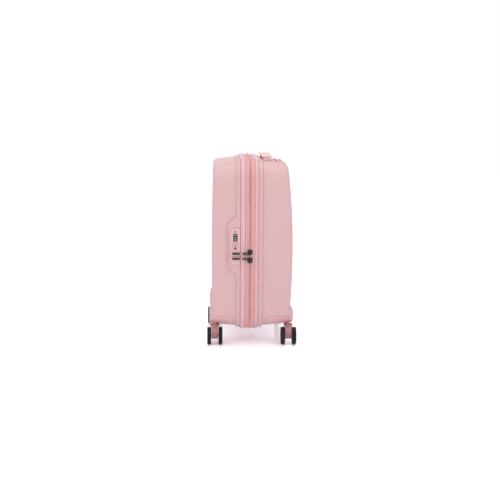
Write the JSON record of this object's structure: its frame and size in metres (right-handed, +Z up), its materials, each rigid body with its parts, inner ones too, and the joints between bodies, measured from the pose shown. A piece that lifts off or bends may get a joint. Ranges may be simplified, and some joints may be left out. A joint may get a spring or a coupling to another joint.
{
  "type": "hard shell suitcase on wheels",
  "caption": "Cabin size hard shell suitcase on spinner casters, with a zip closure, side combination lock, top carry handle and telescopic trolley.",
  "frame": {"origin": "on the floor under the middle of the case", "axes": "+Z up, +X towards the narrow side with the lock, +Y towards the back with the trolley"},
  "size_m": [0.3928, 0.2575, 0.5444],
  "materials": {
    "shell": "satin moulded polycarbonate, soft rose pink",
    "housing": "satin moulded plastic, slightly deeper rose",
    "bead": "smooth rounded rim bead, warm pink",
    "zip_tape": "woven tape, dusty rose",
    "zip_teeth": "moulded coil, deep rose",
    "gunmetal": "dark gunmetal plating",
    "lock": "satin rose plastic",
    "lock_inner": "dark plastic",
    "dial": "dark plastic with pale digits",
    "steel": "brushed steel",
    "handle": "soft rose plastic",
    "trolley_tube": "anodised aluminium, pale rose",
    "trolley_plastic": "satin rose plastic",
    "fork": "satin deep rose plastic",
    "tyre": "black rubber",
    "hub": "pale lilac grey plastic",
    "lining": "thin woven lining, greyed rose",
    "strap": "webbing"
  },
  "bodies": {
    "back_half": {"back_shell": "shell", "back_wheel_housings": "housing", "back_rim_bead": "bead", "back_zip_tape": "zip_tape", "back_zip_teeth": "zip_teeth", "back_lining": "lining", "back_housing_screws": "steel", "packing_straps": "strap", "strap_buckle": "trolley_plastic", "fabric_hinge": "zip_tape", "carry_handle_sleeves": "trolley_plastic", "trolley_bezel": "trolley_plastic", "trolley_outer_tubes": "trolley_tube", "trolley_foot": "trolley_plastic"},
    "front_half": {"front_shell": "shell", "front_wheel_housings": "housing", "front_rim_bead": "bead", "front_zip_tape": "zip_tape", "front_zip_teeth": "zip_teeth", "front_lining": "lining", "front_housing_screws": "steel", "divider_panel": "lining", "lock_plate": "lock", "lock_screws": "steel", "lock_body": "lock_inner", "dial_axle": "steel"},
    "carry_handle": {"carry_handle": "handle"},
    "trolley_middle": {"trolley_middle_tubes": "trolley_tube"},
    "trolley_inner": {"trolley_inner_tubes": "trolley_tube", "trolley_grip": "trolley_plastic"},
    "trolley_button": {"trolley_button": "trolley_plastic", "trolley_pull_rods": "steel"},
    "dial_1": {"dial_1": "dial"},
    "dial_2": {"dial_2": "dial"},
    "dial_3": {"dial_3": "dial"},
    "lock_release_button": {"lock_release_button": "lock"},
    "lock_key_cylinder": {"lock_key_cylinder": "steel"},
    "lock_reset_pin": {"lock_reset_pin": "steel"},
    "upper_slider": {"upper_zip_slider": "gunmetal"},
    "lower_slider": {"lower_zip_slider": "gunmetal"},
    "upper_tab": {"upper_pull_tab": "gunmetal"},
    "lower_tab": {"lower_pull_tab": "gunmetal"},
    "caster_front_left": {"caster_fork_front_left": "fork"},
    "wheels_front_left": {"caster_axle_front_left": "steel", "tyres_front_left": "tyre", "hubs_front_left": "hub"},
    "caster_front_right": {"caster_fork_front_right": "fork"},
    "wheels_front_right": {"caster_axle_front_right": "steel", "tyres_front_right": "tyre", "hubs_front_right": "hub"},
    "caster_back_left": {"caster_fork_back_left": "fork"},
    "wheels_back_left": {"caster_axle_back_left": "steel", "tyres_back_left": "tyre", "hubs_back_left": "hub"},
    "caster_back_right": {"caster_fork_back_right": "fork"},
    "wheels_back_right": {"caster_axle_back_right": "steel", "tyres_back_right": "tyre", "hubs_back_right": "hub"}
  },
  "joints": [
    {"name": "clamshell_hinge", "type": "hinge", "parent": "back_half", "child": "front_half", "pos_m": [-0.1936, -0.007, 0.29025], "axis": [0, 0, -1], "range_deg": [0, 180], "deforming": ["fabric_hinge"]},
    {"name": "carry_handle_lift", "type": "slide", "parent": "back_half", "child": "carry_handle", "axis": [0, 0, 1], "range_m": [0, 0.012]},
    {"name": "trolley_lower_stage", "type": "slide", "parent": "back_half", "child": "trolley_middle", "axis": [0, 0, 1], "range_m": [0, 0.235]},
    {"name": "trolley_upper_stage", "type": "slide", "parent": "trolley_middle", "child": "trolley_inner", "axis": [0, 0, 1], "range_m": [0, 0.235]},
    {"name": "trolley_button_press", "type": "slide", "parent": "trolley_inner", "child": "trolley_button", "axis": [0, 0, -1], "range_m": [0, 0.003], "stiffness_N_per_m": 400, "springref_m": -0.002},
    {"name": "dial_1_turn", "type": "hinge", "parent": "front_half", "child": "dial_1", "pos_m": [0.1839, -0.049, 0.3235], "axis": [0, 0, 1], "continuous": true},
    {"name": "dial_2_turn", "type": "hinge", "parent": "front_half", "child": "dial_2", "pos_m": [0.1839, -0.049, 0.3165], "axis": [0, 0, 1], "continuous": true},
    {"name": "dial_3_turn", "type": "hinge", "parent": "front_half", "child": "dial_3", "pos_m": [0.1839, -0.049, 0.3095], "axis": [0, 0, 1], "continuous": true},
    {"name": "release_button_press", "type": "slide", "parent": "front_half", "child": "lock_release_button", "axis": [-1, 0, 0], "range_m": [0, 0.0022], "stiffness_N_per_m": 250, "springref_m": -0.001},
    {"name": "reset_pin_press", "type": "slide", "parent": "front_half", "child": "lock_reset_pin", "axis": [-1, 0, 0], "range_m": [0, 0.0015], "stiffness_N_per_m": 250, "springref_m": -0.001},
    {"name": "key_turn", "type": "hinge", "parent": "front_half", "child": "lock_key_cylinder", "pos_m": [0.19, -0.049, 0.286], "axis": [1, 0, 0], "range_deg": [0, 90]},
    {"name": "upper_slider_run", "type": "slide", "parent": "front_half", "child": "upper_slider", "axis": [0, 0, 1], "range_m": [0, 0.18]},
    {"name": "lower_slider_run", "type": "slide", "parent": "front_half", "child": "lower_slider", "axis": [0, 0, -1], "range_m": [0, 0.12]},
    {"name": "upper_tab_lift", "type": "hinge", "parent": "upper_slider", "child": "upper_tab", "pos_m": [0.1976, -0.009, 0.2706], "axis": [0, 0, 1], "range_deg": [0, 110]},
    {"name": "lower_tab_lift", "type": "hinge", "parent": "lower_slider", "child": "lower_tab", "pos_m": [0.1976, -0.009, 0.2564], "axis": [0, 0, 1], "range_deg": [0, 110]},
    {"name": "swivel_front_left", "type": "hinge", "parent": "front_half", "child": "caster_front_left", "pos_m": [-0.146, -0.1065, 0.06], "axis": [0, 0, 1], "continuous": true},
    {"name": "roll_front_left", "type": "hinge", "parent": "caster_front_left", "child": "wheels_front_left", "pos_m": [-0.132, -0.1065, 0.0255], "axis": [0, 1, 0], "continuous": true},
    {"name": "swivel_front_right", "type": "hinge", "parent": "front_half", "child": "caster_front_right", "pos_m": [0.146, -0.1065, 0.06], "axis": [0, 0, 1], "continuous": true},
    {"name": "roll_front_right", "type": "hinge", "parent": "caster_front_right", "child": "wheels_front_right", "pos_m": [0.16, -0.1065, 0.0255], "axis": [0, 1, 0], "continuous": true},
    {"name": "swivel_back_left", "type": "hinge", "parent": "back_half", "child": "caster_back_left", "pos_m": [-0.146, 0.107, 0.06], "axis": [0, 0, 1], "continuous": true},
    {"name": "roll_back_left", "type": "hinge", "parent": "caster_back_left", "child": "wheels_back_left", "pos_m": [-0.132, 0.107, 0.0255], "axis": [0, 1, 0], "continuous": true},
    {"name": "swivel_back_right", "type": "hinge", "parent": "back_half", "child": "caster_back_right", "pos_m": [0.146, 0.107, 0.06], "axis": [0, 0, 1], "continuous": true},
    {"name": "roll_back_right", "type": "hinge", "parent": "caster_back_right", "child": "wheels_back_right", "pos_m": [0.16, 0.107, 0.0255], "axis": [0, 1, 0], "continuous": true}
  ]
}
